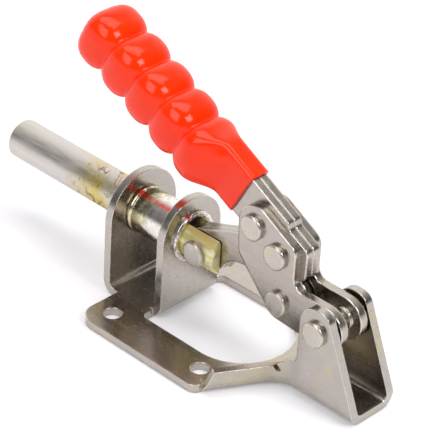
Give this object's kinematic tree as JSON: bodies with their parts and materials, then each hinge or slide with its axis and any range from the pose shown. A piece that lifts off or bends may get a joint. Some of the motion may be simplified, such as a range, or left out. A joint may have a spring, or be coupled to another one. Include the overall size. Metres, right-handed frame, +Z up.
{
  "type": "toggle clamp",
  "caption": "Push-pull toggle clamp: a swinging lever with a lobed red grip drives a round plunger along a sleeve held in a bent sheet base.",
  "frame": {"origin": "centre of the four mounting holes, on the underside of the base", "axes": "+X from the plunger tip towards the rear clevis, +Y across the base, +Z up"},
  "size_m": [0.1414, 0.058, 0.0829],
  "materials": {
    "plated_sheet": "satin plated sheet steel with faint yellow passivation",
    "rivet_steel": "smooth plated rivet steel",
    "plunger_steel": "turned plated bar with brown and yellow stains",
    "sleeve_steel": "smooth plated tube",
    "red_plastic": "soft glossy moulded red plastic"
  },
  "bodies": {
    "base": {"base_frame": "plated_sheet", "guide_sleeve": "sleeve_steel", "rear_pivot_rivet": "rivet_steel"},
    "lever": {"side_plate_near": "plated_sheet", "side_plate_far": "plated_sheet", "handle_plate_near": "plated_sheet", "handle_plate_far": "plated_sheet", "upper_rivet": "rivet_steel", "middle_rivet": "rivet_steel", "link_rivet": "rivet_steel", "grip": "red_plastic"},
    "link": {"link_plate_near": "plated_sheet", "link_plate_far": "plated_sheet"},
    "plunger": {"plunger": "plunger_steel", "plunger_rivet": "rivet_steel"}
  },
  "joints": [
    {"name": "lever_swing", "type": "hinge", "parent": "base", "child": "lever", "pos_m": [0.0462, 0, 0.0233], "axis": [0, 1, 0], "range_deg": [0, 150]},
    {"name": "link_turn", "type": "hinge", "parent": "lever", "child": "link", "pos_m": [0.0294, 0, 0.02305], "axis": [0, -1, 0], "range_deg": [0, 166.7]},
    {"name": "plunger_slide", "type": "slide", "parent": "base", "child": "plunger", "axis": [1, 0, 0], "range_m": [0, 0.0323]}
  ],
  "couplings": [
    {"joint": "link_turn", "follows": "lever_swing", "ratio": 1.1106},
    {"joint": "plunger_slide", "follows": "lever_swing", "m_per_rad": 0.012304}
  ]
}
